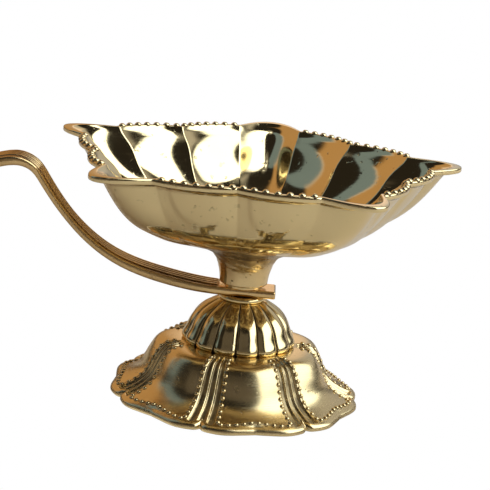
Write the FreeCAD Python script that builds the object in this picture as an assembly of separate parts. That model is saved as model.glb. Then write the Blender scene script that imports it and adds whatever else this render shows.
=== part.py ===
import FreeCAD, Part
import math
import os

V = FreeCAD.Vector

# Five-wick hand lamp in cast brass. Millimetres, +Z up. The origin is on the lamp's upright axis, on
# the plane that the foot stands on. The handle leaves the axis towards -X.

# --- bowl: five corners with pouring tongues, and two scallops on each side between them ---
CORNERS = 5
CORNER_STEP = 360 / CORNERS
FIRST_CORNER = 13.5          # azimuth of the first corner, degrees
JOINT_ANGLE = 10.9           # from a corner to where its tongue meets the scallops
LOBE_ANGLE = 23.4            # from a corner to the middle of a scallop
CUSP_ANGLE = CORNER_STEP / 2
FLANK_ANGLE = 5.0            # a point on the tongue's round end, from the corner
FLANK_SHARE = 0.72           # how far out it stands there, between joint and tip
# outer wall sections: height, radius at the corner, at the joint, at the scallop's middle, at the cusp
WALL_SECTIONS = [
    (46.4, 11.0, 11.0, 11.0, 11.0),
    (48.4, 15.2, 15.2, 15.2, 15.2),
    (50.3, 20.6, 20.4, 20.4, 20.2),
    (52.3, 28.0, 26.8, 26.6, 26.0),
    (54.3, 35.6, 33.2, 32.6, 31.4),
    (56.6, 41.2, 38.4, 37.2, 35.6),
    (60.0, 48.0, 43.6, 41.2, 39.2),
    (64.5, 53.7, 47.9, 44.8, 42.4),
    (70.0, 58.5, 51.7, 48.8, 45.8),
    (75.2, 62.4, 54.2, 52.4, 48.8),
]
LIP_BASE_Z = WALL_SECTIONS[-1][0]
RIM_Z = 77.0
LIP = (67.4, 55.6, 54.2, 49.7)      # lip radii: corner tip, joint, scallop's middle, cusp
MOUTH = (64.0, 53.7, 52.3, 47.8)    # the hollow's radii at the rim, in the same order
WALL_IN = 1.4                       # the hollow lies this far inside the outer wall
WALL_UP = 1.9                       # and this far above it
FLUTE_RIDGE = 1.3                   # how far the ridges between its flutes stand in
FLOOR_Z = 50.9
FLOOR_R = 15.5

# --- neck: trumpet stem brazed under the bowl, tapped from below ---
NECK_BASE_Z = 36.5
NECK_TOP_Z = WALL_SECTIONS[0][0]
NECK_TOP_R = WALL_SECTIONS[0][1]
NECK_PROFILE = [(7.5, NECK_BASE_Z), (7.9, 39.8), (8.7, 42.6), (9.7, 44.8), (NECK_TOP_R, NECK_TOP_Z)]
TAP_TOP_Z = 44.4

# --- the stack on the stud, from the top down ---
STUD_R = 3.0
THREAD_GAP = 0.05                   # radial clearance of a thread drawn as a plain cylinder
TURNING_GAP = 0.08                  # radial clearance of a hole that turns on the stud
LOOSE_GAP = 0.3                     # radial clearance of a hole that only locates
FACE_GAP = 0.05                     # between faces that turn on each other
STRIP_BASE_Z = 32.95
STRIP_T = 2.5
STRIP_Z = STRIP_BASE_Z + STRIP_T / 2
WASHER_R = 5.6
WASHER_Z = (STRIP_BASE_Z + STRIP_T + FACE_GAP, NECK_BASE_Z - FACE_GAP)
COLLAR_R = 7.3
COLLAR_Z = (31.1, STRIP_BASE_Z - FACE_GAP)
COLLAR_ROUND = 0.8

# --- dome: hollow cap with bold convex flutes ---
FLUTES = 15
FIRST_VALLEY = -91.5
DOME_BASE_Z = 17.4
# height, radius along a valley, radius along a crest
DOME_SECTIONS = [
    (DOME_BASE_Z, 16.9, 17.9),
    (20.4, 16.1, 17.2),
    (24.0, 14.7, 15.7),
    (27.1, 12.7, 13.6),
    (29.4, 10.0, 10.7),
    (COLLAR_Z[0], 7.5, 7.8),
]
DOME_HOLLOW = [(14.2, DOME_BASE_Z), (13.4, 20.6), (11.6, 24.2), (9.0, 26.9), (5.2, 28.2)]

# --- foot: seven-lobed flared shell on a thick wavy lip ---
LOBES = 7
LOBE_STEP = 360 / LOBES
FIRST_GROOVE = -52.5
BAND_HALF = 7.0                     # half width of the band along each groove, degrees
BAND_DEPTH = 0.7                    # how far the band lies under the panels
# height, radius at a panel's edge, radius at a panel's middle
FOOT_SECTIONS = [
    (2.4, 37.4, 37.8),
    (4.6, 32.6, 33.2),
    (7.4, 29.4, 30.4),
    (10.8, 27.6, 28.9),
    (14.0, 25.9, 27.3),
    (16.2, 24.1, 25.7),
    (DOME_BASE_Z, 21.4, 22.6),
]
FOOT_WALL_IN = 1.3                  # the hollow lies this far inside the panels
FOOT_ROOF = 2.4                     # and this far under them
FOOT_MOUTH_R = 32.6                 # the hollow's radius where it opens inside the lip
FOOT_LIP_Z = 2.9
FOOT_LIP_INNER_R = 34.4
# the lip's outline from a groove to the middle of a lobe: angle from the groove, radius
LIP_WAVE = [(0.0, 38.1), (4.0, 39.1), (10.9, 39.7), (18.5, 38.7), (LOBE_STEP / 2, 37.9)]

# --- fasteners under the foot ---
FOOT_WASHER_R = 9.5
FOOT_WASHER_T = 1.6
NUT_FLATS = 10.0
NUT_H = 5.0
NUT_CHAMFER = 0.6
STUD_PROUD = 2.0                    # stud below the nut
STUD_TOP_Z = 43.0
STUD_CHAMFER = 0.6

# --- handle: reeded strip in the XZ plane, from its cut end across the axis to the grip ---
STRIP_END_X = 10.3
STRIP_LINE = [
    (STRIP_END_X, STRIP_Z, STRIP_T),
    (0.0, STRIP_Z, STRIP_T),
    (-12.0, 34.6, 2.6),
    (-26.0, 36.7, 2.7),
    (-41.0, 41.4, 2.4),
    (-54.5, 51.3, 2.0),
    (-64.3, 63.6, 2.0),
    (-68.0, 68.0, 2.2),
    (-72.3, 69.6, 2.6),
    (-79.0, 68.5, 2.8),
    (-98.0, 64.2, 2.8),
    (-122.0, 61.0, 2.8),
    (-150.0, 62.0, 2.8),
]
FLAT_POINTS = 2                     # the first points lie flat, under the neck
STRIP_TIP_X = STRIP_LINE[-1][0]
# half width of the strip along X
STRIP_HALF = [
    (STRIP_END_X, 4.9),
    (-2.0, 5.0),
    (-15.0, 5.6),
    (-28.0, 5.5),
    (-41.0, 4.7),
    (-56.0, 4.1),
    (-66.0, 4.6),
    (-74.0, 6.4),
    (-84.0, 7.3),
    (-110.0, 7.6),
    (-142.0, 7.0),
]
REEDS = 4
REED_PITCH = 2.0
REED_W = 1.3
REED_H = 0.35


def polar(radius, degrees, z):
    angle = math.radians(degrees)
    return V(radius * math.cos(angle), radius * math.sin(angle), z)


def spline(points):
    curve = Part.BSplineCurve()
    curve.interpolate(points)
    return curve


def closed_wire(runs):
    """One closed wire from runs of points, each run a smooth edge."""
    return Part.Wire([spline(run).toShape() for run in runs])


def loft(wires):
    return Part.makeLoft(wires, True, False)


def cylinder(radius, low, high):
    return Part.makeCylinder(radius, high - low, V(0, 0, low))


def ring(outer, bore, low, high):
    return cylinder(outer, low, high).cut(cylinder(bore, low - 1, high + 1))


def turned(profile):
    """A solid of revolution whose side is a smooth curve through the profile's (radius, height) points."""
    side = spline([V(r, 0, z) for r, z in profile])
    low, high = side.StartPoint, side.EndPoint
    edges = [side.toShape()]
    edges.append(Part.makeLine(high, V(0, 0, high.z)))
    edges.append(Part.makeLine(V(0, 0, high.z), V(0, 0, low.z)))
    edges.append(Part.makeLine(V(0, 0, low.z), low))
    return Part.Face(Part.Wire(edges)).revolve(V(0, 0, 0), V(0, 0, 1), 360)


def bowl_outline(z, corner, joint, lobe, cusp):
    """The five-cornered outline at one height, with a crease at each joint and cusp."""
    flank = joint + FLANK_SHARE * (corner - joint)
    runs = []
    for k in range(CORNERS):
        at = FIRST_CORNER + k * CORNER_STEP
        tip = polar(corner, at, z)
        flank_before, flank_after = polar(flank, at - FLANK_ANGLE, z), polar(flank, at + FLANK_ANGLE, z)
        join_before, join_after = polar(joint, at - JOINT_ANGLE, z), polar(joint, at + JOINT_ANGLE, z)
        mid = polar(cusp, at + CUSP_ANGLE, z)
        join_next = polar(joint, at + CORNER_STEP - JOINT_ANGLE, z)
        runs.append([join_before, flank_before, tip, flank_after, join_after])
        runs.append([join_after, polar(lobe, at + LOBE_ANGLE, z), mid])
        runs.append([mid, polar(lobe, at + CORNER_STEP - LOBE_ANGLE, z), join_next])
    return closed_wire(runs)


def bowl():
    wall = loft([bowl_outline(*section) for section in WALL_SECTIONS])
    lip = Part.Face(bowl_outline(LIP_BASE_Z, *LIP)).extrude(V(0, 0, RIM_Z - LIP_BASE_Z))
    inner = [(FLOOR_Z,) + (FLOOR_R,) * 4]
    for z, corner, joint, lobe, cusp in WALL_SECTIONS:
        if z + WALL_UP > FLOOR_Z + 1 and z < LIP_BASE_Z:
            ridge = WALL_IN + FLUTE_RIDGE
            inner.append((z + WALL_UP, corner - WALL_IN, joint - ridge, lobe - WALL_IN, cusp - ridge))
    inner.append((RIM_Z + 0.01, *MOUTH))
    hollow = loft([bowl_outline(*section) for section in inner])
    return wall.fuse(lip).cut(hollow)


def neck():
    tap = cylinder(STUD_R + THREAD_GAP, NECK_BASE_Z - 1, TAP_TOP_Z)
    return turned(NECK_PROFILE).cut(tap)


def neck_washer():
    return ring(WASHER_R, STUD_R + TURNING_GAP, *WASHER_Z)


def strip_edge(side):
    """The strip's upper (side = 1) or lower (side = -1) line, half a thickness off its middle line."""
    # the middle line's Y carries the thickness
    middle = spline([V(x, thick, z) for x, z, thick in STRIP_LINE[FLAT_POINTS - 1:]])
    points = [V(x, 0, z + side * thick / 2) for x, z, thick in STRIP_LINE[:FLAT_POINTS - 1]]
    steps = 3 * len(STRIP_LINE)
    for i in range(steps + 1):
        u = middle.FirstParameter + (middle.LastParameter - middle.FirstParameter) * i / steps
        at = middle.value(u)
        along = middle.tangent(u)[0]
        normal = V(along.z, 0, -along.x).normalize()
        points.append(V(at.x, 0, at.z) + normal * (side * at.y / 2))
    return points


def strip_side(half_width, extra):
    """The strip's side outline carried across a width, its upper line raised by extra."""
    upper = [p + V(0, 0, extra) for p in strip_edge(1)]
    lower = strip_edge(-1)
    flat_top = Part.makeLine(upper[0], upper[1])
    flat_base = Part.makeLine(lower[1], lower[0])
    top = spline(upper[1:]).toShape()
    base = spline(lower[:0:-1]).toShape()
    far_end = Part.makeLine(upper[-1], lower[-1])
    near_end = Part.makeLine(lower[0], upper[0])
    face = Part.Face(Part.Wire([flat_top, top, far_end, base, flat_base, near_end]))
    solid = face.extrude(V(0, 2 * half_width, 0))
    solid.translate(V(0, -half_width, 0))
    return solid


def strip_plan():
    """The strip seen from above: it widens to the grip and ends in a half round."""
    low_z, high_z = 0, 100
    left = [V(x, y, low_z) for x, y in STRIP_HALF]
    right = [V(x, -y, low_z) for x, y in STRIP_HALF]
    tip = Part.Arc(left[-1], V(STRIP_TIP_X + 0.5, 0, low_z), right[-1])
    edges = [
        spline(left).toShape(),
        tip.toShape(),
        spline(right[::-1]).toShape(),
        Part.makeLine(right[0], left[0]),
    ]
    return Part.Face(Part.Wire(edges)).extrude(V(0, 0, high_z))


def handle_strip():
    widest = max(half for _, half in STRIP_HALF)
    strip = strip_side(widest + 1, 0)
    for k in range(REEDS):
        reed = strip_side(REED_W / 2, REED_H)
        reed.translate(V(0, (k - (REEDS - 1) / 2) * REED_PITCH, 0))
        strip = strip.fuse(reed)
    # the reeds stop short of the washer's seat
    strip = strip.cut(ring(WASHER_R + 1.6, 0.5, STRIP_BASE_Z + STRIP_T, STRIP_BASE_Z + STRIP_T + 3))
    strip = strip.common(strip_plan())
    return strip.cut(cylinder(STUD_R + TURNING_GAP, 20, 50))


def collar():
    body = ring(COLLAR_R, STUD_R + LOOSE_GAP, *COLLAR_Z)
    outer_edges = [e for e in body.Edges if abs(e.BoundBox.XMax - COLLAR_R) < 0.01 and e.Closed]
    return body.makeFillet(COLLAR_ROUND, outer_edges)


def dome_outline(z, valley, crest):
    step = 360 / FLUTES
    runs = []
    for k in range(FLUTES):
        at = FIRST_VALLEY + k * step
        runs.append([polar(valley, at, z), polar(crest, at + step / 2, z), polar(valley, at + step, z)])
    return closed_wire(runs)


def dome():
    shell = loft([dome_outline(*section) for section in DOME_SECTIONS])
    shell = shell.cut(turned(DOME_HOLLOW))
    return shell.cut(cylinder(STUD_R + LOOSE_GAP, DOME_BASE_Z - 1, COLLAR_Z[0] + 1))


def foot_outline(z, edge, middle):
    """Seven gently curved panels with a sunken band along each groove between them."""
    runs = []
    for k in range(LOBES):
        groove = FIRST_GROOVE + k * LOBE_STEP
        panel_from, panel_to = groove + BAND_HALF, groove + LOBE_STEP - BAND_HALF
        centre = groove + LOBE_STEP / 2
        runs.append([polar(edge, panel_from, z), polar(middle, centre, z), polar(edge, panel_to, z)])
        next_groove = groove + LOBE_STEP
        runs.append([polar(edge, panel_to, z), polar(edge - BAND_DEPTH, next_groove, z),
                     polar(edge, next_groove + BAND_HALF, z)])
    return closed_wire(runs)


def foot_lip():
    """The thick wavy lip: two waves to each lobe, with a nick at each groove."""
    wave = LIP_WAVE + [(LOBE_STEP - angle, radius) for angle, radius in LIP_WAVE[-2::-1]]
    runs = []
    for k in range(LOBES):
        groove = FIRST_GROOVE + k * LOBE_STEP
        runs.append([polar(radius, groove + angle, 0) for angle, radius in wave])
    lip = Part.Face(closed_wire(runs)).extrude(V(0, 0, FOOT_LIP_Z))
    return lip.cut(cylinder(FOOT_LIP_INNER_R, -1, FOOT_LIP_Z + 1))


def foot():
    shell = loft([foot_outline(*section) for section in FOOT_SECTIONS])
    high = FOOT_SECTIONS[-1]
    inner = [(FOOT_SECTIONS[0][0] - 1, FOOT_MOUTH_R, FOOT_MOUTH_R)]
    for z, edge, middle in FOOT_SECTIONS[1:-1]:
        inner.append((z - FOOT_ROOF, edge - FOOT_WALL_IN, middle - FOOT_WALL_IN))
    inner.append((high[0] - FOOT_ROOF, high[1] - FOOT_ROOF, high[2] - FOOT_ROOF))
    hollow = loft([foot_outline(*section) for section in inner])
    body = shell.cut(hollow).fuse(foot_lip())
    return body.cut(cylinder(STUD_R + LOOSE_GAP, 0, DOME_BASE_Z + 1))


def stack_under_foot():
    """Heights of the washer's top, the nut's top, the nut's base and the stud's lower end."""
    washer_top = DOME_BASE_Z - FOOT_ROOF
    nut_top = washer_top - FOOT_WASHER_T
    nut_base = nut_top - NUT_H
    return washer_top, nut_top, nut_base, nut_base - STUD_PROUD


def tie_stud():
    low = stack_under_foot()[3]
    rod = cylinder(STUD_R, low, STUD_TOP_Z)
    return rod.makeChamfer(STUD_CHAMFER, [e for e in rod.Edges if e.Closed and e.Length < 20])


def foot_washer():
    washer_top, nut_top, _, _ = stack_under_foot()
    return ring(FOOT_WASHER_R, STUD_R + LOOSE_GAP, nut_top, washer_top)


def foot_nut():
    _, top, base, _ = stack_under_foot()
    corner_r = NUT_FLATS / math.sqrt(3)
    corners = [polar(corner_r, 60 * k, base) for k in range(7)]
    hexagon = Part.Face(Part.makePolygon(corners)).extrude(V(0, 0, NUT_H))
    turned_r = corner_r - NUT_CHAMFER
    for z, tip in ((base, 1), (top, -1)):
        cone = Part.makeCone(turned_r, turned_r + 2 * NUT_H, NUT_H, V(0, 0, z), V(0, 0, tip))
        hexagon = hexagon.common(cone)
    return hexagon.cut(cylinder(STUD_R + THREAD_GAP, base - 1, top + 1))


NODES = [bowl, neck, neck_washer, handle_strip, collar, dome, foot, tie_stud, foot_washer, foot_nut]

os.makedirs("parts", exist_ok=True)
for make in NODES:
    shape = make()
    if len(shape.Solids) == 1:
        shape = shape.Solids[0]
    print(make.__name__, shape.ShapeType, shape.isValid(), round(shape.Volume), len(shape.Faces))
    shape.exportStep(f"parts/{make.__name__}.step")
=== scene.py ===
import math

import bpy
import numpy as np
from mathutils import Matrix, Vector


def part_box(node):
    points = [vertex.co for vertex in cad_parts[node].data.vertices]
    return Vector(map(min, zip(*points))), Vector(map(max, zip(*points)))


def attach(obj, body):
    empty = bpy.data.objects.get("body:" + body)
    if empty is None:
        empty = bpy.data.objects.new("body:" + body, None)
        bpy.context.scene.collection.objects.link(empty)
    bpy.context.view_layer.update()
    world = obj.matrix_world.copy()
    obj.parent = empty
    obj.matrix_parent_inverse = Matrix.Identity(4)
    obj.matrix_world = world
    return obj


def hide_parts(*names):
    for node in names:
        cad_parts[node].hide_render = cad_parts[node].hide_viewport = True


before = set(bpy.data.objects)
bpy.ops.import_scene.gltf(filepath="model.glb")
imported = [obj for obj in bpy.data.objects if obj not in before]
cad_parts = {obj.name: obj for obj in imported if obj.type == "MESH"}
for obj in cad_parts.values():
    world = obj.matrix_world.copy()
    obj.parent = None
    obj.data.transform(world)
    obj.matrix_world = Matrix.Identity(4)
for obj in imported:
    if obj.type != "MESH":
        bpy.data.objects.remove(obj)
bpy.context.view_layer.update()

# A hand-held five-wick lamp in cast brass. Metres, +Z up, the lamp's axis on Z, the handle towards -X.
MM = 0.001

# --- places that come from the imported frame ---
BOWL_BASE_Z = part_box("bowl")[0].z
RIM_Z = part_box("bowl")[1].z
COLLAR_LOW_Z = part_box("collar")[0].z
COLLAR_HIGH_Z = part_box("collar")[1].z

# --- bowl ---
CORNERS = 5
CORNER_STEP = 360 / CORNERS
FIRST_CORNER = 13.5
JOINT_ANGLE = 10.9
FLANK_ANGLE = 5.0
LOBE_ANGLE = 23.4
CUSP_ANGLE = CORNER_STEP / 2
FLANK_SHARE = 0.72
# outer wall: height, then radius at corner, joint, middle of a scallop, cusp; all in mm
WALL_SECTIONS = [
    (46.4, 11.0, 11.0, 11.0, 11.0),
    (48.4, 15.2, 15.2, 15.2, 15.2),
    (50.3, 20.6, 20.4, 20.4, 20.2),
    (52.3, 28.0, 26.8, 26.6, 26.0),
    (54.3, 35.6, 33.2, 32.6, 31.4),
    (56.6, 41.2, 38.4, 37.2, 35.6),
    (60.0, 48.0, 43.6, 41.2, 39.2),
    (64.5, 53.7, 47.9, 44.8, 42.4),
    (70.0, 58.5, 51.7, 48.8, 45.8),
    (75.2, 62.4, 54.2, 52.4, 48.8),
]
# rim, outside then inside: radius at corner, joint, middle of a scallop, cusp
LIP = (67.4, 55.6, 54.2, 49.7)
MOUTH = (63.8, 53.7, 52.3, 47.8)
WALL_IN = 1.4
WALL_UP = 1.9
FLUTE_RIDGE = 1.3
OUTSIDE_ROWS = 36
LOBE_SWELL = 0.4
PAD_TOP = 75.0
PAD_LOW = 62.5
PAD_HALF = 0.36
FLOOR_Z = 50.9
FLOOR_R = 15.5
RIM_BEADS = 7
RIM_BEAD_R = 1.15
RIM_BEAD_H = 0.95

# --- foot ---
LOBES = 7
LOBE_STEP = 360 / LOBES
FIRST_GROOVE = -52.5
BAND_HALF = 7.0
BAND_DEPTH = 0.8
RIDGE_ANGLE = 2.3
RIDGE_SPREAD = 0.85
RIDGE_H = 0.75
# outside of the foot: height, then radius at a panel's edge and at its middle
FOOT_SECTIONS = [
    (3.1, 35.6, 36.0),
    (4.6, 32.6, 33.2),
    (7.4, 29.4, 30.4),
    (10.8, 27.6, 28.9),
    (14.0, 25.9, 27.3),
    (16.2, 24.1, 25.7),
    (17.2, 21.4, 22.6),
    (17.4, 18.5, 18.8),
]
# lip: degrees from the nearest groove, radius; then its rounded edge: height, inset
LIP_WAVE = [(0.0, 37.2), (1.5, 38.5), (4.0, 39.2), (10.9, 39.7), (18.5, 38.7), (25.72, 37.9)]
LIP_EDGE = [
    (0.0, 1.4),
    (0.0, 0.7),
    (0.12, 0.25),
    (0.45, 0.03),
    (0.9, 0.0),
    (1.35, 0.08),
    (1.75, 0.4),
    (2.05, 0.85),
]
FLANGE_Z = 2.3
FLANGE_INSET = 1.3
FOOT_LIP_INNER_R = 34.4
# inside of the foot: height, then radius at a panel's edge and at its middle
FOOT_HOLLOW = [
    (15.0, 19.0, 20.2),
    (13.8, 22.8, 24.4),
    (11.6, 24.6, 26.0),
    (8.4, 26.3, 27.6),
    (5.0, 28.1, 29.1),
    (2.4, 31.3, 31.9),
]
# heights of the two edges of the hole in its roof; then the underside of its lip: radius, height
FOOT_ROOF = (17.4, 15.0)
FOOT_MOUTH = [(33.0, 2.0), (34.1, 1.9), (34.4, 1.6)]
FOOT_BEAD_PITCH = 2.25
FOOT_BEAD_R = 0.75
FOOT_BEAD_H = 0.6
LIP_BEADS = 10
LIP_BEAD_INSET = 2.3

# --- dome ---
FLUTES = 15
FIRST_VALLEY = -91.5
# outside of the dome: height, then radius in a valley and on a crest
DOME_SECTIONS = [
    (17.4, 16.6, 17.5),
    (18.2, 16.8, 17.95),
    (20.4, 16.1, 17.3),
    (24.0, 14.6, 15.75),
    (27.1, 12.6, 13.65),
    (29.4, 9.9, 10.75),
    (31.1, 7.5, 7.8),
]

# inside of the dome: height, radius
DOME_HOLLOW = [(28.2, 5.2), (26.9, 9.0), (24.2, 11.6), (20.6, 13.4), (17.4, 14.2)]

# --- collar, and the rod's hole through collar, dome and foot ---
ROD_HOLE_R = 3.3
COLLAR_R = 7.3

# --- handle ---
STRIP_Z = 34.2
# middle line of the strip: x, height, thickness
STRIP_LINE = [
    (10.3, STRIP_Z, 2.5), (0.0, STRIP_Z, 2.5), (-12.0, 34.6, 2.6), (-26.0, 36.7, 2.7), (-41.0, 41.4, 2.4),
    (-54.5, 51.3, 2.0), (-64.3, 63.6, 2.0), (-68.0, 68.0, 2.2), (-72.3, 69.6, 2.6), (-79.0, 68.5, 2.8),
    (-98.0, 64.2, 2.8), (-122.0, 61.0, 2.8), (-150.0, 62.0, 2.8),
]
# its half width: x, half width
STRIP_HALF = [
    (10.3, 4.9), (-2.0, 5.0), (-15.0, 5.6), (-28.0, 5.5), (-41.0, 4.7), (-56.0, 4.1),
    (-66.0, 4.6), (-74.0, 6.4), (-84.0, 7.3),
    (-110.0, 7.6), (-142.0, 7.0),
]
STRIP_ROUND = 0.55
REEDS = 4
REED_PITCH = 2.0
REED_H = 0.5
REED_START = (7.2, 8.4)
GRIP_NOSE_X = 142
GRIP_NOSE_LENGTH = 8.0
STRIP_ROWS = 420

# --- neck ---
NECK_BASE_Z = 36.5
TAP_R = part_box("tie_stud")[1].x / MM + 0.05
TAP_TOP_Z = 44.4
# radius, height
NECK_PROFILE = [(7.5, 36.5), (7.9, 39.8), (8.7, 42.6), (9.7, 44.8), (11.0, 46.4)]


# ---------------------------------------------------------------- shape tools

def smooth_rows(rows, count):
    """A natural cubic spline through rows of numbers.

    Rows are spaced by the distance between them, measured in their first three numbers.

    The second derivatives come from the usual tridiagonal system; returns count rows evenly spread."""
    p = np.asarray(rows, float)
    t = np.r_[0, np.cumsum(np.linalg.norm(np.diff(p[:, :3], axis=0), axis=1))]
    n, h = len(t), np.diff(t)
    a = np.eye(n)
    b = np.zeros_like(p)
    for i in range(1, n - 1):
        a[i, i - 1:i + 2] = h[i - 1], 2 * (h[i - 1] + h[i]), h[i]
        b[i] = 6 * ((p[i + 1] - p[i]) / h[i] - (p[i] - p[i - 1]) / h[i - 1])
    m = np.linalg.solve(a, b)
    s = np.linspace(0, t[-1], count)
    k = np.clip(np.searchsorted(t, s, side="right") - 1, 0, n - 2)
    lo, hi, w = (s - t[k])[:, None], (t[k + 1] - s)[:, None], h[k][:, None]
    curve = m[k] * hi**3 + m[k + 1] * lo**3
    return curve / (6 * w) + (p[k] / w - m[k] * w / 6) * hi + (p[k + 1] / w - m[k + 1] * w / 6) * lo


def through_three(x, xs, ys):
    """The parabola through three points (Lagrange's form), evaluated at x; ys may be columns."""
    x0, x1, x2 = xs
    y0, y1, y2 = ys
    return (y0 * (x - x1) * (x - x2) / ((x0 - x1) * (x0 - x2))
            + y1 * (x - x0) * (x - x2) / ((x1 - x0) * (x1 - x2))
            + y2 * (x - x0) * (x - x1) / ((x2 - x0) * (x2 - x1)))


def step(x, low, high):
    """Smooth step: 0 below low, 1 above high, 3x2 - 2x3 between."""
    x = np.clip((x - low) / (high - low), 0, 1)
    return x * x * (3 - 2 * x)


def around(radius, degrees, z):
    """Points at radius and azimuth round the lamp's axis, as an array of x, y, z."""
    angle = np.radians(degrees)
    return np.stack(np.broadcast_arrays(radius * np.cos(angle), radius * np.sin(angle), z), axis=-1)


def put_mesh(name, points, quads, triangles, marks):
    """A mesh object from points and faces, turned outwards, with one float per point for each mark."""
    loops = np.concatenate([quads.ravel(), triangles.ravel()]).astype(np.int32)
    sizes = np.r_[np.full(len(quads), 4), np.full(len(triangles), 3)].astype(np.int32)
    starts = np.r_[0, np.cumsum(sizes)[:-1]].astype(np.int32)
    mesh = bpy.data.meshes.new(name)
    mesh.vertices.add(len(points))
    mesh.vertices.foreach_set("co", (points * MM).astype(np.float32).ravel())
    mesh.loops.add(len(loops))
    mesh.loops.foreach_set("vertex_index", loops)
    mesh.polygons.add(len(sizes))
    mesh.polygons.foreach_set("loop_start", starts)
    mesh.update(calc_edges=True)
    a, b, c = (points[np.concatenate([quads[:, i], triangles[:, i]])] for i in range(3))
    extra = points[quads[:, 3]]
    volume = np.einsum("ij,ij->i", a, np.cross(b, c)).sum()
    volume += np.einsum("ij,ij->i", points[quads[:, 0]], np.cross(points[quads[:, 2]], extra)).sum()
    if volume < 0:
        mesh.flip_normals()
    for mark, values in marks.items():
        layer = mesh.attributes.new(mark, "FLOAT", "POINT")
        layer.data.foreach_set("value", values.astype(np.float32).ravel())
    mesh.shade_smooth()
    mesh.validate()
    piece = bpy.data.objects.new(name, mesh)
    bpy.context.scene.collection.objects.link(piece)
    return piece


def closed_skin(name, grid, marks):
    """A closed skin from a grid of rings: each row is a ring, and the first and last close on a pole."""
    rows, cols = grid.shape[:2]
    first, last = grid[0].mean(axis=0), grid[-1].mean(axis=0)
    points = np.concatenate([grid.reshape(-1, 3), [first, last]])
    i, j = np.meshgrid(np.arange(rows - 1), np.arange(cols), indexing="ij")
    k = (j + 1) % cols
    n = i + 1
    quads = np.stack([i * cols + j, i * cols + k, n * cols + k, n * cols + j], axis=-1).reshape(-1, 4)
    ring, after = np.arange(cols), (np.arange(cols) + 1) % cols
    pole, base = rows * cols, (rows - 1) * cols
    fan = np.stack([np.full(cols, pole), after, ring], axis=-1)
    back = np.stack([np.full(cols, pole + 1), base + ring, base + after], axis=-1)
    values = {}
    for mark, v in marks.items():
        v = np.broadcast_to(v, (rows, cols))
        values[mark] = np.r_[v.ravel(), v[0].mean(), v[-1].mean()]
    return put_mesh(name, points, quads, np.concatenate([fan, back]), values)


def ring_skin(name, grid, marks):
    """A closed skin with a hole through it: rows close on each other as well as columns, as on a torus."""
    rows, cols = grid.shape[:2]
    i, j = np.meshgrid(np.arange(rows), np.arange(cols), indexing="ij")
    n, k = (i + 1) % rows, (j + 1) % cols
    quads = np.stack([i * cols + j, i * cols + k, n * cols + k, n * cols + j], axis=-1).reshape(-1, 4)
    values = {mark: np.broadcast_to(v, (rows, cols)).ravel() for mark, v in marks.items()}
    return put_mesh(name, grid.reshape(-1, 3), quads, np.zeros((0, 3), int), values)


def bead_skin(name, centres, normals, radius, height):
    """Beads: one small ball of 8 by 6 faces, flattened along its normal, copied to each centre."""
    lat = np.radians(np.linspace(-90, 90, 7)[1:-1])
    lon = np.radians(np.arange(8) * 45)
    ball = np.stack([np.outer(np.cos(lat), np.cos(lon)), np.outer(np.cos(lat), np.sin(lon)),
                     np.outer(np.sin(lat), np.ones(8))], axis=-1).reshape(-1, 3)
    ball = np.concatenate([ball, [[0, 0, -1], [0, 0, 1]]])
    n = normals / np.linalg.norm(normals, axis=1, keepdims=True)
    side = np.cross(n, [0.3, 0.5, 0.8])
    side /= np.linalg.norm(side, axis=1, keepdims=True)
    other = np.cross(n, side)
    size = np.array([radius, radius, height])
    local = ball * size
    points = (centres[:, None] + local[None, :, :1] * side[:, None] + local[None, :, 1:2] * other[:, None]
              + local[None, :, 2:] * n[:, None])
    i, j = np.meshgrid(np.arange(4), np.arange(8), indexing="ij")
    k = (j + 1) % 8
    quads = np.stack([i * 8 + j, i * 8 + k, (i + 1) * 8 + k, (i + 1) * 8 + j], axis=-1).reshape(-1, 4)
    ring, after = np.arange(8), (np.arange(8) + 1) % 8
    fans = np.concatenate([np.stack([np.full(8, 40), after, ring], axis=-1),
                           np.stack([np.full(8, 41), 32 + ring, 32 + after], axis=-1)])
    shift = (np.arange(len(centres)) * len(ball))[:, None, None]
    # painted shade: each bead darkens towards its base, where it meets the surface
    painted_shade = np.broadcast_to(step(-ball[:, 2], -0.55, 0.2), points.shape[:2])
    return put_mesh(name, points.reshape(-1, 3), (quads[None] + shift).reshape(-1, 4),
                    (fans[None] + shift).reshape(-1, 3), {"painted_shade": painted_shade, "raw": painted_shade * 0})


# ---------------------------------------------------------------- bowl

def five_corners(degrees, corner, joint, lobe, cusp):
    """Radius of the five-cornered outline, mirrored about each corner.

    A tongue is a parabola in the squared angle, so its tip is round; a scallop is one in the angle."""
    off = np.abs((degrees - FIRST_CORNER + CUSP_ANGLE) % CORNER_STEP - CUSP_ANGLE)
    flank = joint + FLANK_SHARE * (corner - joint)
    tongue = through_three(off**2, (0, FLANK_ANGLE**2, JOINT_ANGLE**2), (corner, flank, joint))
    scallop = through_three(off, (JOINT_ANGLE, LOBE_ANGLE, CUSP_ANGLE), (joint, lobe, cusp))
    return np.where(off < JOINT_ANGLE, tongue, scallop)


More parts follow.
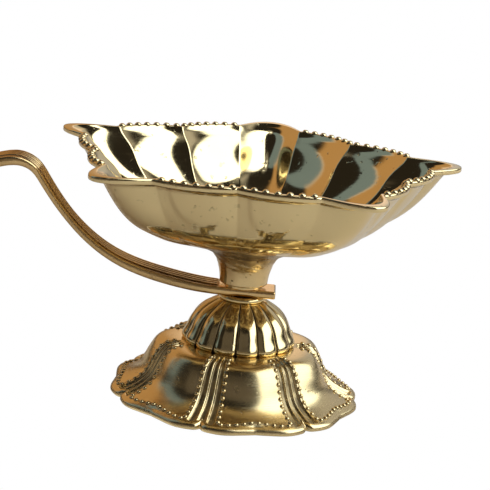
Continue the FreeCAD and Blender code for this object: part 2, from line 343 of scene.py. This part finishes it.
def bowl_rows():
    """The bowl's section as rows of (height, four radii): up the outside, over the lip, down the inside."""
    outer = smooth_rows(WALL_SECTIONS, 34)
    lip, mouth = np.array(LIP), np.array(MOUTH)
    low, top = WALL_SECTIONS[-1][0], RIM_Z / MM
    edge = [(low + 0.05, 0.5), (low + 0.2, 0.15), (low + 0.5, 0.0), (top - 0.6, 0.0), (top - 0.2, 0.12),
            (top - 0.03, 0.4), (top, 0.8)]
    rim = [(z, *(lip - inset)) for z, inset in edge]
    rim += [(top, *(mouth + 0.45)), (top - 0.05, *(mouth + 0.15)), (top - 0.25, *(mouth - 0.05))]
    inside = [(FLOOR_Z, *(FLOOR_R,) * 4)]
    ridge = WALL_IN + FLUTE_RIDGE
    for z, corner, joint, lobe, cusp in WALL_SECTIONS[3:-1]:
        inside.append((z + WALL_UP, corner - WALL_IN, joint - ridge, lobe - WALL_IN, cusp - ridge))
    inside += [(75.4, 60.2, 52.8, 51.3, 47.0), (top - 0.25, *(mouth - 0.05))]
    inner = smooth_rows(inside, 30)[::-1][1:]
    floor = [(FLOOR_Z - 0.02, *(r,) * 4) for r in (12.0, 6.0, 0.5)]
    base = [(BOWL_BASE_Z / MM, *(r,) * 4) for r in (0.5, 6.0)]
    return np.concatenate([base, outer, rim, inner, floor])


def lobe_pads(degrees, z):
    """1 inside the U-shaped pad that swells on the outside of each scallop, 0 outside it."""
    off = np.abs((degrees - FIRST_CORNER + CUSP_ANGLE) % CORNER_STEP - CUSP_ANGLE)
    across = np.abs((off - JOINT_ANGLE) / (CUSP_ANGLE - JOINT_ANGLE) - 0.5)
    drop = np.clip((PAD_TOP - z) / (PAD_TOP - PAD_LOW), 0, 1)
    room = PAD_HALF * np.sqrt(1 - drop**3) - across
    return step(room, -0.02, 0.07) * step(z, PAD_LOW - 1.0, PAD_LOW + 1.0) * (off > JOINT_ANGLE)


def make_bowl():
    """The cast bowl: bowl_rows carried round the axis by five_corners, with the pads' swell added."""
    half = np.r_[np.linspace(0, JOINT_ANGLE, 33)[:-1], np.linspace(JOINT_ANGLE, CUSP_ANGLE, 64)[:-1]]
    whole = np.unique(np.r_[half, CUSP_ANGLE, CORNER_STEP - half[1:]])
    degrees = (FIRST_CORNER + np.arange(CORNERS)[:, None] * CORNER_STEP + whole[None]).ravel()
    rows = bowl_rows()
    z, corner, joint, lobe, cusp = (rows[:, i:i + 1] for i in range(5))
    radius = five_corners(degrees[None], corner, joint, lobe, cusp)
    outside = np.arange(len(rows))[:, None] < OUTSIDE_ROWS
    radius = radius + outside * LOBE_SWELL * lobe_pads(degrees[None], z)
    grid = around(radius, degrees[None], z)
    raw = np.where(outside, step(-radius, -36, -24) * step(-z, -57, -53), 0.45 * step(-z, -60, -52))
    # painted shade: the outside darkens in a narrow band just under the rim's lip
    painted_shade_under_lip = np.where(outside, step(z, 74.6, 75.2), 0) * 0.6
    return closed_skin("bowl_casting", grid, {"painted_shade": painted_shade_under_lip + 0 * radius, "raw": raw + 0 * radius})


def make_rim_beads():
    """Beads along each scallop's rim, evenly spaced by arc length, between a joint and a cusp."""
    centres = []
    lip = [r - 1.0 for r in LIP]
    for k in range(CORNERS):
        for side in (-1, 1):
            off = np.linspace(JOINT_ANGLE, CUSP_ANGLE, 200)
            degrees = FIRST_CORNER + k * CORNER_STEP + side * off
            line = around(five_corners(degrees, *lip), degrees, RIM_Z / MM - 0.1)
            run = np.r_[0, np.cumsum(np.linalg.norm(np.diff(line, axis=0), axis=1))]
            at = (np.arange(RIM_BEADS) + 0.6) / (RIM_BEADS + 0.1) * run[-1]
            centres.append(np.stack([np.interp(at, run, line[:, i]) for i in range(3)], axis=-1))
    centres = np.concatenate(centres)
    upright = np.tile([0.0, 0.0, 1.0], (len(centres), 1))
    return bead_skin("rim_beads", centres, upright, RIM_BEAD_R, RIM_BEAD_H)


# ---------------------------------------------------------------- neck, collar, dome

def make_neck():
    """Trumpet stem: the neck's profile turned round the axis, with a blind hole for the stud.

    Near its top the casting is uneven by the product of two sine waves, one mostly round it, one up it."""
    rows = [(0.5, TAP_TOP_Z), (TAP_R, TAP_TOP_Z), (TAP_R, 36.6), (TAP_R + 0.1, NECK_BASE_Z)]
    rows += [(4.0, NECK_BASE_Z), (7.1, 36.52), (7.4, 36.65)]
    rows += [(r, z) for r, z in smooth_rows([(r, z, 0) for r, z in NECK_PROFILE], 30)[1:, :2]]
    rows += [(11.6, 46.75), (6.0, 46.9), (0.5, 46.9)]
    rows = np.array(rows)
    degrees = np.linspace(0, 360, 145)[:-1]
    z, radius = rows[:, 1:], rows[:, :1]
    turn = np.radians(degrees)
    lump = 0.16 * step(z, 41, 45) * (np.sin(turn * 5 + z) * np.sin(z * 2.1 + turn * 3))
    grid = around(radius + lump * (radius > 7), degrees[None], z)
    raw = 0.1 + 0.5 * step(z, 41.5, 45.5) + 0 * degrees
    return closed_skin("neck_stem", grid, {"painted_shade": 0 * raw, "raw": raw})


def make_collar():
    """Round ring: a rounded rectangle in section, turned round the axis."""
    low, high = COLLAR_LOW_Z / MM, COLLAR_HIGH_Z / MM
    turn = np.radians(np.linspace(-90, 90, 15))
    mid, half = (low + high) / 2, (high - low) / 2
    r = np.r_[ROD_HOLE_R, COLLAR_R - half + half * np.cos(turn) ** 0.8, ROD_HOLE_R]
    z = np.r_[low, mid + half * np.sin(turn), high]
    degrees = np.linspace(0, 360, 121)[:-1]
    grid = around(r[:, None], degrees[None], z[:, None])
    return ring_skin("stem_collar", grid, {"painted_shade": 0 * grid[..., 0], "raw": 0 * grid[..., 0]})


def make_dome():
    """Fluted cap: each flute a convex arc between its two valleys, with a plain hollow inside."""
    share = (1 - np.cos(np.linspace(0, np.pi, 25)[:-1])) / 2
    degrees = (FIRST_VALLEY + (np.arange(FLUTES)[:, None] + share[None]) * 360 / FLUTES).ravel()
    bulge = np.tile((1 - (2 * share - 1) ** 2) ** 0.62, FLUTES)
    rows = smooth_rows(DOME_SECTIONS, 40)
    z, valley, crest = rows[:, :1], rows[:, 1:2], rows[:, 2:3]
    skin = around(valley + (crest - valley) * bulge, degrees, z)
    hollow = smooth_rows([(z, r, 0) for z, r in DOME_HOLLOW], 12)
    inner = around(hollow[:, 1:2], degrees, hollow[:, :1])
    bore = around(np.full((3, 1), ROD_HOLE_R), degrees, np.array([[31.1], [29.5], [28.2]]))
    grid = np.concatenate([skin, bore, inner])
    # painted shade: darker along each flute's valley and round the dome's bottom edge, where it meets the
    # foot
    painted_valley_shade = np.tile(step(0.5 - np.abs(share - 0.5), 0.12, 0.0), FLUTES)
    marks = np.zeros(grid.shape[:2])
    marks[:40] = painted_valley_shade * 0.9 + 0.5 * step(-z, -18.2, -17.5)
    return ring_skin("fluted_dome", grid, {"painted_shade": np.clip(marks, 0, 1), "raw": marks * 0})


# ---------------------------------------------------------------- foot

def lobe_place(degrees):
    """Angle from the nearest groove, and share of the way across a panel (0 at its edge, 1 at its middle)."""
    off = np.abs((degrees - FIRST_GROOVE + LOBE_STEP / 2) % LOBE_STEP - LOBE_STEP / 2)
    across = np.clip((off - BAND_HALF) / (LOBE_STEP / 2 - BAND_HALF), 0, 1)
    return off, across


def lip_radius(degrees):
    """The wavy lip: a smooth curve through the wave's points, nicked at each groove."""
    off, _ = lobe_place(degrees)
    wave = smooth_rows([(a, r, 0) for a, r in LIP_WAVE], 80)
    return np.interp(off, wave[:, 0], wave[:, 1])


def foot_columns():
    """Angles of the foot's columns: close together across a band, wider apart across a panel."""
    band = np.linspace(-BAND_HALF, BAND_HALF, 47)[:-1]
    panel = np.linspace(BAND_HALF, LOBE_STEP - BAND_HALF, 31)[:-1]
    one = np.r_[band, panel]
    return (FIRST_GROOVE + np.arange(LOBES)[:, None] * LOBE_STEP + one[None]).ravel()


def panel_radius(degrees, edge, middle):
    """Each panel bulges between its edges as a parabola."""
    _, across = lobe_place(degrees)
    return edge + (middle - edge) * (1 - (1 - across) ** 2)


def foot_surface(degrees):
    """Outer surface from the lip to the roof: radius, height and a mark of painted shade, a row for each
    level.

    The flange runs straight from the lip's edge to the first section; the panels rise from there.
    Each band sinks along the surface's normal, with two narrow ridges, and fades at the lip and the dome.
    """
    off, _ = lobe_place(degrees)
    rows = smooth_rows(FOOT_SECTIONS, 54)
    panel = panel_radius(degrees, rows[:, 1:2], rows[:, 2:3])
    wave = lip_radius(degrees)
    run = np.linspace(0, 1, 11)[:-1, None]
    radius = np.concatenate([(wave - FLANGE_INSET) * (1 - run) + panel[0] * run, panel])
    height = np.concatenate([FLANGE_Z * (1 - run) + rows[0, 0] * run, rows[:, :1]]) + 0 * radius
    out, up = np.gradient(radius, axis=0), np.gradient(height, axis=0)
    length = np.hypot(out, up)
    reach = step(wave - radius, 1.2, 2.4) * step(radius, 18.3, 20.0)
    sunk = step(-off, -BAND_HALF, -BAND_HALF + 1.6)
    ridge = np.exp(-((off - RIDGE_ANGLE) / RIDGE_SPREAD) ** 2)
    relief = reach * (RIDGE_H * ridge - BAND_DEPTH * sunk)
    # painted shade: darker in the sunk bands (less on the ridges), round the top where the dome sits, and in
    # lines along the bead rows
    painted_shade = 0.6 * np.clip(sunk * (1 - 1.3 * ridge), 0, 1) * reach
    painted_shade = np.maximum(painted_shade, 0.7 * step(-radius, -18.6, -17.9))
    side_row = np.exp(-((off - BAND_HALF - 1.0) / 1.2) ** 2) * reach
    lip_row = np.exp(-((wave - radius - LIP_BEAD_INSET) / 0.7) ** 2) * step(off, BAND_HALF, BAND_HALF + 1.5)
    painted_shade = np.maximum(painted_shade, 0.6 * np.maximum(side_row, lip_row))
    return radius + relief * up / length, height - relief * out / length, painted_shade


def make_foot():
    """Seven-lobed foot: the lip's rounded edge, the outer surface and the roof, then the hollow inside."""
    degrees = foot_columns()
    lip = np.stack([around(lip_radius(degrees) - inset, degrees, height) for height, inset in LIP_EDGE])
    start = around(np.full_like(degrees, FOOT_LIP_INNER_R), degrees, 0.0)[None]
    radius, height, painted_shade = foot_surface(degrees)
    body = around(radius, degrees, height)
    roof = np.stack([around(np.full_like(degrees, ROD_HOLE_R), degrees, h) for h in FOOT_ROOF])
    inner = smooth_rows(FOOT_HOLLOW, 20)
    inside = around(panel_radius(degrees, inner[:, 1:2], inner[:, 2:3]), degrees, inner[:, :1])
    mouth = np.stack([around(np.full_like(degrees, r), degrees, h) for r, h in FOOT_MOUTH])
    grid = np.concatenate([start, lip, body, roof, inside, mouth])
    marks = np.zeros(grid.shape[:2])
    first, last = len(start) + len(lip), len(start) + len(lip) + len(body)
    marks[first:last] = painted_shade
    raw = np.zeros(grid.shape[:2])
    raw[last + 1:] = 1
    return ring_skin("lobed_foot", grid, {"painted_shade": marks, "raw": raw})


def make_foot_beads():
    """Bead rows that frame every panel of the foot: down both its sides and along its lower edge."""
    centres, normals = [], []
    for k in range(LOBES):
        groove = FIRST_GROOVE + k * LOBE_STEP
        for side in (-1, 1):
            degrees = groove + side * (BAND_HALF + 1.0)
            radius, height, _ = foot_surface(np.array([degrees]))
            keep = (radius[:, 0] < 36.6) & (radius[:, 0] > 20.0)
            line_r, line_z = radius[keep, 0], height[keep, 0]
            run = np.r_[0, np.cumsum(np.hypot(np.diff(line_r), np.diff(line_z)))]
            at = np.arange(0, run[-1], FOOT_BEAD_PITCH)
            r, z = np.interp(at, run, line_r), np.interp(at, run, line_z)
            slope = np.arctan2(np.gradient(z), -np.gradient(r))
            centres.append(around(r, degrees, z))
            normals.append(around(np.sin(slope), degrees, np.cos(slope)))
        degrees = groove + np.linspace(BAND_HALF + 2.6, LOBE_STEP - BAND_HALF - 2.6, LIP_BEADS)
        radius, height, _ = foot_surface(degrees)
        r = lip_radius(degrees) - LIP_BEAD_INSET
        z = [np.interp(at, radius[::-1, j], height[::-1, j]) for j, at in enumerate(r)]
        centres.append(around(r, degrees, np.array(z)))
        normals.append(around(0.4, degrees, 0.92))
    centres, normals = np.concatenate(centres), np.concatenate(normals)
    return bead_skin("foot_beads", centres, normals, FOOT_BEAD_R, FOOT_BEAD_H)


# ---------------------------------------------------------------- handle

def make_strip():
    """Reeded strip: a rounded oblong section with narrow reeds on top, carried along the handle's line."""
    line = smooth_rows(STRIP_LINE, STRIP_ROWS)
    thick = line[:, 2]
    line = line[:, :2]
    tangent = np.gradient(line, axis=0)
    tangent /= np.linalg.norm(tangent, axis=1, keepdims=True)
    normal = np.stack([tangent[:, 1], -tangent[:, 0]], axis=-1)
    half = np.interp(-line[:, 0], [-x for x, _ in STRIP_HALF], [h for _, h in STRIP_HALF])
    nose = np.clip((-line[:, 0] - GRIP_NOSE_X) / GRIP_NOSE_LENGTH, 0, 0.995)
    half = half * np.sqrt(1 - nose**2)
    thick = thick * (1 - 0.35 * nose**2)
    corner = np.minimum(STRIP_ROUND, half * 0.9)
    flat_half = (half - corner)[:, None]
    pitch = np.minimum(REED_PITCH, 1.9 * flat_half / REEDS)
    reeded = pitch * REEDS / 2
    across = np.linspace(-1, 1, 97)
    margin = np.linspace(0, 1, 13)[1:]
    top = np.hstack([-flat_half + (flat_half - reeded) * (margin - margin[0]), reeded * across[1:-1],
                     reeded + (flat_half - reeded) * margin])
    reed = np.abs(np.sin(np.pi * REEDS * (across[1:-1] + 1) / 2)) ** 0.75
    crest = np.hstack([0 * margin, reed, 0 * margin])
    base = flat_half * np.linspace(1, -1, 15)
    turn = np.radians(np.linspace(90, -90, 9)[1:-1])
    side = corner[:, None] * np.cos(turn)
    y = np.hstack([top, flat_half + side, base, -flat_half - side])
    rise = np.r_[np.ones(top.shape[1]), np.sin(turn), -np.ones(15), -np.sin(turn)]
    on_top = np.zeros(y.shape[1])
    on_top[:len(crest)] = np.hstack([0 * margin, np.ones(len(reed)), 0 * margin])
    crest = np.r_[crest, np.zeros(y.shape[1] - len(crest))]
    fade = step(-line[:, 0], *REED_START) * (1 - nose)
    n = rise * (thick / 2)[:, None] + crest * REED_H * fade[:, None]
    points = np.stack([line[:, :1] + normal[:, :1] * n, y, line[:, 1:] + normal[:, 1:] * n], axis=-1)
    # the first ring is drawn in a little, which eases the edge of the hidden end
    points[0, :, 2] = STRIP_Z + (points[0, :, 2] - STRIP_Z) * 0.86
    points[0, :, 1] *= 0.95
    # painted shade: the strip's top darkens in the grooves between the reeds
    painted_shade = on_top * step(1 - crest, 0.25, 0.75) * fade[:, None]
    return closed_skin("reeded_strip", points, {"painted_shade": painted_shade, "raw": 0 * painted_shade})


# ---------------------------------------------------------------- finishes

def effect(name, inputs, outputs):
    """An empty shader node group with named sockets, and its input and output nodes."""
    group = bpy.data.node_groups.new(name, "ShaderNodeTree")
    for label, kind, value in inputs:
        socket = group.interface.new_socket(label, in_out="INPUT", socket_type=kind)
        socket.default_value = value
    for label, kind in outputs:
        group.interface.new_socket(label, in_out="OUTPUT", socket_type=kind)
    return group, group.nodes.new("NodeGroupInput"), group.nodes.new("NodeGroupOutput")


def node(tree, kind, **settings):
    """A new shader node with its settings."""
    made = tree.nodes.new(kind)
    for key, value in settings.items():
        setattr(made, key, value)
    return made


def build_metal_effect():
    """Metal that has been handled: tint drift, fine scratches and pits; plus painted shade, which darkens the
    colour and lowers metallic in marked hollows, grooves and under ledges.
    """
    colour, number, vector = "NodeSocketColor", "NodeSocketFloat", "NodeSocketVector"
    inputs = [("Tint", colour, (0.8, 0.6, 0.3, 1)), ("Dark", colour, (0.06, 0.04, 0.02, 1)),
              ("Drift", number, 0.2), ("Polish", number, 0.15), ("Scratch", number, 0.1),
              ("Pits", number, 0.1),
              ("Ripple", number, 0.3), ("Stretch", vector, (1, 1, 26))]
    outputs = [("Color", colour), ("Roughness", number), ("Metallic", number), ("Height", number)]
    g, ins, outs = effect("handled_metal_and_painted_shade", inputs, outputs)
    link = g.links.new
    coords = node(g, "ShaderNodeTexCoord").outputs["Object"]

    def noise(scale, detail, stretch=None):
        """Noise on the object's own coordinates, scaled along each axis where a stretch is given."""
        source = coords
        if stretch:
            mapping = node(g, "ShaderNodeMapping")
            link(stretch, mapping.inputs["Scale"])
            link(coords, mapping.inputs["Vector"])
            source = mapping.outputs["Vector"]
        tex = node(g, "ShaderNodeTexNoise")
        tex.inputs["Scale"].default_value = scale
        tex.inputs["Detail"].default_value = detail
        link(source, tex.inputs["Vector"])
        return tex.outputs["Fac"]

    def ramp(value, low, high, to_low=0.0, to_high=1.0):
        """Smooth step of a value between low and high."""
        m = node(g, "ShaderNodeMapRange")
        m.interpolation_type = "SMOOTHSTEP"
        link(value, m.inputs["Value"])
        m.inputs["From Min"].default_value, m.inputs["From Max"].default_value = low, high
        m.inputs["To Min"].default_value, m.inputs["To Max"].default_value = to_low, to_high
        return m.outputs["Result"]

    def maths(operation, a, b):
        """One operation on two values, each a number or a socket."""
        m = node(g, "ShaderNodeMath", operation=operation)
        for socket, value in zip(m.inputs, (a, b)):
            if isinstance(value, (int, float)):
                socket.default_value = value
            else:
                link(value, socket)
        return m.outputs[0]

    def mix(factor, a, b):
        """Colour a where factor is 0, colour b where it is 1."""
        m = node(g, "ShaderNodeMix", data_type="RGBA")
        link(factor, m.inputs["Factor"])
        link(a, m.inputs["A"])
        link(b, m.inputs["B"])
        return m.outputs["Result"]

    painted_shade = node(g, "ShaderNodeAttribute", attribute_name="painted_shade").outputs["Fac"]
    raw = node(g, "ShaderNodeAttribute", attribute_name="raw").outputs["Fac"]
    cloud, mottle, grain = noise(38, 3), noise(210, 4), noise(900, 2)
    scratch = noise(60, 5, ins.outputs["Stretch"])
    pit = ramp(noise(420, 2), 0.66, 0.74)
    tarnish = maths("MULTIPLY", ramp(cloud, 0.38, 0.68), ins.outputs["Drift"])
    uneven = maths("MULTIPLY", maths("SUBTRACT", mottle, 0.5), 0.6)
    # painted shade: the shade mark, edged by mottle, darkens the colour towards Dark, and below it also
    # lowers metallic
    hollow = ramp(maths("ADD", painted_shade, uneven), 0.25, 0.85)
    cast = maths("MULTIPLY", raw, ramp(mottle, 0.3, 0.6, 0.35, 0.95))
    pitted = maths("MULTIPLY", pit, ins.outputs["Pits"])
    dark = maths("MAXIMUM", maths("MAXIMUM", hollow, cast), maths("MAXIMUM", tarnish, pitted))
    link(mix(dark, ins.outputs["Tint"], ins.outputs["Dark"]), outs.inputs["Color"])
    scuffed = maths("MULTIPLY", maths("SUBTRACT", scratch, 0.5), ins.outputs["Scratch"])
    rough = maths("ADD", ins.outputs["Polish"], scuffed)
    rough = maths("ADD", rough, maths("MULTIPLY", dark, 0.35))
    link(maths("MAXIMUM", rough, 0.03), outs.inputs["Roughness"])
    dull = maths("MULTIPLY", maths("MAXIMUM", hollow, cast), 0.35)
    link(maths("SUBTRACT", 1.0, dull), outs.inputs["Metallic"])
    scored = maths("MULTIPLY", scratch, ins.outputs["Scratch"])
    height = maths("ADD", scored, maths("MULTIPLY", mottle, maths("MULTIPLY", raw, 6.0)))
    height = maths("SUBTRACT", height, maths("MULTIPLY", pit, maths("MULTIPLY", ins.outputs["Pits"], 1.5)))
    height = maths("ADD", height, maths("MULTIPLY", grain, maths("MULTIPLY", raw, 2.0)))
    swell = maths("ADD", noise(110, 1), maths("MULTIPLY", noise(330, 2), 0.35))
    height = maths("ADD", height, maths("MULTIPLY", swell, ins.outputs["Ripple"]))
    link(height, outs.inputs["Height"])
    return g


HANDLED_METAL_AND_PAINTED_SHADE = build_metal_effect()
RELIEF_M = 0.0001
AROUND = (1, 1, 26)
LENGTHWISE = (2, 30, 2)


def metal_finish(name, tint, dark, drift, polish, scratch, pits, ripple, stretch=AROUND):
    """A metal finish: the handled-metal effect, its painted shade included, feeding a metal surface and its
    bump.
    """
    material = bpy.data.materials.new(name)
    material.use_nodes = True
    tree = material.node_tree
    surface = tree.nodes["Principled BSDF"]
    look = tree.nodes.new("ShaderNodeGroup")
    look.node_tree = HANDLED_METAL_AND_PAINTED_SHADE
    for label, value in (("Tint", tint), ("Dark", dark), ("Drift", drift), ("Polish", polish),
                         ("Scratch", scratch), ("Pits", pits), ("Ripple", ripple), ("Stretch", stretch)):
        look.inputs[label].default_value = value
    relief = tree.nodes.new("ShaderNodeBump")
    relief.inputs["Distance"].default_value = RELIEF_M
    relief.inputs["Strength"].default_value = 1.0
    tree.links.new(look.outputs["Height"], relief.inputs["Height"])
    tree.links.new(look.outputs["Color"], surface.inputs["Base Color"])
    tree.links.new(look.outputs["Roughness"], surface.inputs["Roughness"])
    tree.links.new(look.outputs["Metallic"], surface.inputs["Metallic"])
    tree.links.new(relief.outputs["Normal"], surface.inputs["Normal"])
    return material


# ---------------------------------------------------------------- camera, floor and light

CAMERA_PLACE = (0, -0.45142, 0.16225)
CAMERA_PITCH = 14.14
CAMERA_ROLL = -5.27
CAMERA_AIM_X = -0.0012
CAMERA_LENS = 109.39


def make_camera():
    """Looks along +Y from a little above, rolled so that the lamp leans the way it is held."""
    data = bpy.data.cameras.new("lamp_camera")
    data.sensor_width = 36
    data.lens = CAMERA_LENS
    camera = bpy.data.objects.new("lamp_camera", data)
    pitch, roll = math.radians(CAMERA_PITCH), math.radians(CAMERA_ROLL)
    forward = Vector((CAMERA_AIM_X, math.cos(pitch), -math.sin(pitch))).normalized()
    right = forward.cross(Vector((0, 0, 1))).normalized()
    up = right.cross(forward)
    across = right * math.cos(roll) - up * math.sin(roll)
    upward = right * math.sin(roll) + up * math.cos(roll)
    turn = Matrix((across, upward, -forward)).transposed().to_4x4()
    camera.matrix_world = Matrix.Translation(CAMERA_PLACE) @ turn
    bpy.context.scene.collection.objects.link(camera)
    bpy.context.scene.camera = camera


FLOOR_REACH = 4.0
FLOOR_HOLE_R = 0.0405
FLOOR_SIDES = 64


def make_floor():
    """A pale floor: plain white to the camera, a matt sheet to everything else, and clear from below.

    A hole under the foot lets light from below reach its rim and its hollow."""
    mesh = bpy.data.meshes.new("floor")
    n = FLOOR_SIDES
    angles = np.radians(np.arange(n) * 360 / n)
    points = [(r * np.cos(a), r * np.sin(a), 0) for r in (FLOOR_HOLE_R, FLOOR_REACH) for a in angles]
    mesh.from_pydata(points, [], [(k, n + k, n + (k + 1) % n, (k + 1) % n) for k in range(n)])
    floor = bpy.data.objects.new("floor", mesh)
    bpy.context.scene.collection.objects.link(floor)
    material = bpy.data.materials.new("pale_floor")
    material.use_nodes = True
    tree = material.node_tree
    tree.nodes.clear()
    out = tree.nodes.new("ShaderNodeOutputMaterial")
    path = tree.nodes.new("ShaderNodeLightPath")
    seen = tree.nodes.new("ShaderNodeMixShader")
    side = tree.nodes.new("ShaderNodeMixShader")
    facing = tree.nodes.new("ShaderNodeNewGeometry")
    clear = tree.nodes.new("ShaderNodeBsdfTransparent")
    lit = tree.nodes.new("ShaderNodeBsdfDiffuse")
    lit.inputs["Color"].default_value = (0.80, 0.73, 0.65, 1)
    plain = tree.nodes.new("ShaderNodeEmission")
    plain.inputs["Strength"].default_value = 1.0
    tree.links.new(path.outputs["Is Camera Ray"], seen.inputs[0])
    tree.links.new(lit.outputs[0], seen.inputs[1])
    tree.links.new(plain.outputs[0], seen.inputs[2])
    tree.links.new(facing.outputs["Backfacing"], side.inputs[0])
    tree.links.new(seen.outputs[0], side.inputs[1])
    tree.links.new(clear.outputs[0], side.inputs[2])
    tree.links.new(side.outputs[0], out.inputs["Surface"])
    mesh.materials.append(material)


def make_world():
    """Plain white behind the lamp, and a dark room to light and reflections."""
    world = bpy.data.worlds.new("studio")
    bpy.context.scene.world = world
    world.use_nodes = True
    tree = world.node_tree
    tree.nodes.clear()
    out = tree.nodes.new("ShaderNodeOutputWorld")
    path = tree.nodes.new("ShaderNodeLightPath")
    mixer = tree.nodes.new("ShaderNodeMixShader")
    room = tree.nodes.new("ShaderNodeBackground")
    room.inputs["Color"].default_value = (1.0, 0.9, 0.8, 1)
    room.inputs["Strength"].default_value = 0.02
    white = tree.nodes.new("ShaderNodeBackground")
    white.inputs["Color"].default_value = (1, 1, 1, 1)
    white.inputs["Strength"].default_value = 1.0
    tree.links.new(path.outputs["Is Camera Ray"], mixer.inputs[0])
    tree.links.new(room.outputs[0], mixer.inputs[1])
    tree.links.new(white.outputs[0], mixer.inputs[2])
    tree.links.new(mixer.outputs[0], out.inputs["Surface"])


PANEL_COLUMNS = 49
PANEL_ROWS = 33


def studio_panel(name, reach, azimuths, elevations, colour, strength, soft=6.0):
    """A softbox or wall: a patch of a sphere between two azimuths and two elevations, reach metres out.

    It glows evenly and fades over the last few degrees to each edge."""
    cols, rows = PANEL_COLUMNS, PANEL_ROWS
    az, el = np.linspace(*azimuths, cols)[None], np.linspace(*elevations, rows)[:, None]
    a, e = np.radians(az), np.radians(el)
    x, y = reach * np.cos(e) * np.cos(a), reach * np.cos(e) * np.sin(a)
    points = np.stack([x, y, 0.05 + reach * np.sin(e) + 0 * a], axis=-1).reshape(-1, 3)
    edge = np.minimum(np.minimum(az - azimuths[0], azimuths[1] - az),
                      np.minimum(el - elevations[0], elevations[1] - el))
    i, j = np.meshgrid(np.arange(rows - 1), np.arange(cols - 1), indexing="ij")
    at = i * cols + j
    faces = np.stack([at, at + cols, at + cols + 1, at + 1], axis=-1).reshape(-1, 4)
    mesh = bpy.data.meshes.new(name)
    mesh.from_pydata(points.tolist(), [], faces.tolist())
    glow_at = mesh.attributes.new("glow", "FLOAT", "POINT")
    glow_at.data.foreach_set("value", (strength * step(edge, 0.0, soft)).astype(np.float32).ravel())
    panel = bpy.data.objects.new(name, mesh)
    bpy.context.scene.collection.objects.link(panel)
    material = bpy.data.materials.new(name)
    material.use_nodes = True
    tree = material.node_tree
    tree.nodes.clear()
    out = tree.nodes.new("ShaderNodeOutputMaterial")
    light = tree.nodes.new("ShaderNodeEmission")
    light.inputs["Color"].default_value = (*colour, 1)
    fade = tree.nodes.new("ShaderNodeAttribute")
    fade.attribute_name = "glow"
    clear = tree.nodes.new("ShaderNodeBsdfTransparent")
    both = tree.nodes.new("ShaderNodeAddShader")
    tree.links.new(fade.outputs["Fac"], light.inputs["Strength"])
    tree.links.new(light.outputs[0], both.inputs[0])
    tree.links.new(clear.outputs[0], both.inputs[1])
    tree.links.new(both.outputs[0], out.inputs["Surface"])
    mesh.materials.append(material)
    panel.visible_camera = False


make_camera()
make_world()
make_floor()
studio_panel("key_softbox", 1.30, (-52, 30), (9, 100), (0.84, 0.92, 1.0), 2.7, 6.0)
studio_panel("pale_wall", 1.32, (28, 100), (0, 50), (0.97, 0.97, 1.0), 0.5, 12.0)
studio_panel("warm_wall", 1.34, (78, 164), (0, 56), (1.0, 0.60, 0.27), 0.46, 8.0)
studio_panel("blue_window", 1.36, (154, 196), (8, 78), (0.46, 0.70, 1.0), 0.34, 6.0)
studio_panel("front_wall", 1.38, (-140, -60), (2, 40), (1.0, 0.90, 0.85), 0.08, 8.0)
studio_panel("low_front", 1.42, (-170, -10), (0, 16), (1.0, 0.82, 0.6), 0.22, 8.0)
studio_panel("ceiling", 1.44, (-200, 200), (74, 90), (0.95, 0.97, 1.0), 0.25, 8.0)
studio_panel("bounce_below", 1.46, (-200, 200), (-89, -15), (1.0, 0.97, 0.92), 0.5, 20.0)

bowl_finish = metal_finish(
    "polished_bowl_brass", tint=(0.91, 0.73, 0.39, 1), dark=(0.10, 0.055, 0.02, 1),
    drift=0.08, polish=0.09, scratch=0.10, pits=0.25, ripple=0.2)
stem_finish = metal_finish(
    "cast_stem_brass", tint=(0.92, 0.70, 0.36, 1), dark=(0.14, 0.07, 0.025, 1),
    drift=0.4, polish=0.13, scratch=0.2, pits=0.9, ripple=2.4)
# painted reflection: the strip's tint is darker and redder than the other brass, standing in for the bowl's
# brown underside reflected in it
strip_finish = metal_finish(
    "drawn_strip_brass", tint=(0.86, 0.60, 0.28, 1), dark=(0.12, 0.05, 0.015, 1),
    drift=0.25, polish=0.17, scratch=0.25, pits=0.2, ripple=0.3, stretch=LENGTHWISE)
dome_finish = metal_finish(
    "fluted_dome_brass", tint=(0.88, 0.69, 0.35, 1), dark=(0.08, 0.045, 0.016, 1),
    drift=0.15, polish=0.13, scratch=0.1, pits=0.2, ripple=0.3)
foot_finish = metal_finish(
    "panelled_foot_brass", tint=(0.88, 0.69, 0.36, 1), dark=(0.07, 0.04, 0.015, 1),
    drift=0.15, polish=0.22, scratch=0.12, pits=0.3, ripple=0.4)
washer_finish = metal_finish(
    "turned_washer_brass", tint=(0.88, 0.66, 0.32, 1), dark=(0.12, 0.06, 0.02, 1),
    drift=0.2, polish=0.25, scratch=0.4, pits=0.3, ripple=0.3)
steel_finish = metal_finish(
    "plated_steel", tint=(0.60, 0.59, 0.56, 1), dark=(0.16, 0.10, 0.06, 1),
    drift=0.25, polish=0.32, scratch=0.5, pits=0.5, ripple=0.4)


def place(piece, body, nodes, material):
    """Finishes a piece, puts it on its body, and hides the CAD nodes that it stands in for."""
    piece.data.materials.append(material)
    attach(piece, body)
    if nodes:
        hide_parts(*nodes)


place(make_bowl(), "bowl_and_neck", ["bowl"], bowl_finish)
place(make_rim_beads(), "bowl_and_neck", [], bowl_finish)
place(make_neck(), "bowl_and_neck", ["neck"], stem_finish)
place(make_strip(), "handle", ["handle_strip"], strip_finish)
place(make_collar(), "base", ["collar"], dome_finish)
place(make_dome(), "base", ["dome"], dome_finish)
place(make_foot(), "base", ["foot"], foot_finish)
place(make_foot_beads(), "base", [], foot_finish)

for node_name, finish in (("neck_washer", washer_finish), ("tie_stud", steel_finish),
                          ("foot_washer", steel_finish), ("foot_nut", steel_finish)):
    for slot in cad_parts[node_name].material_slots:
        slot.material = finish

bpy.context.scene.view_settings.view_transform = "Standard"
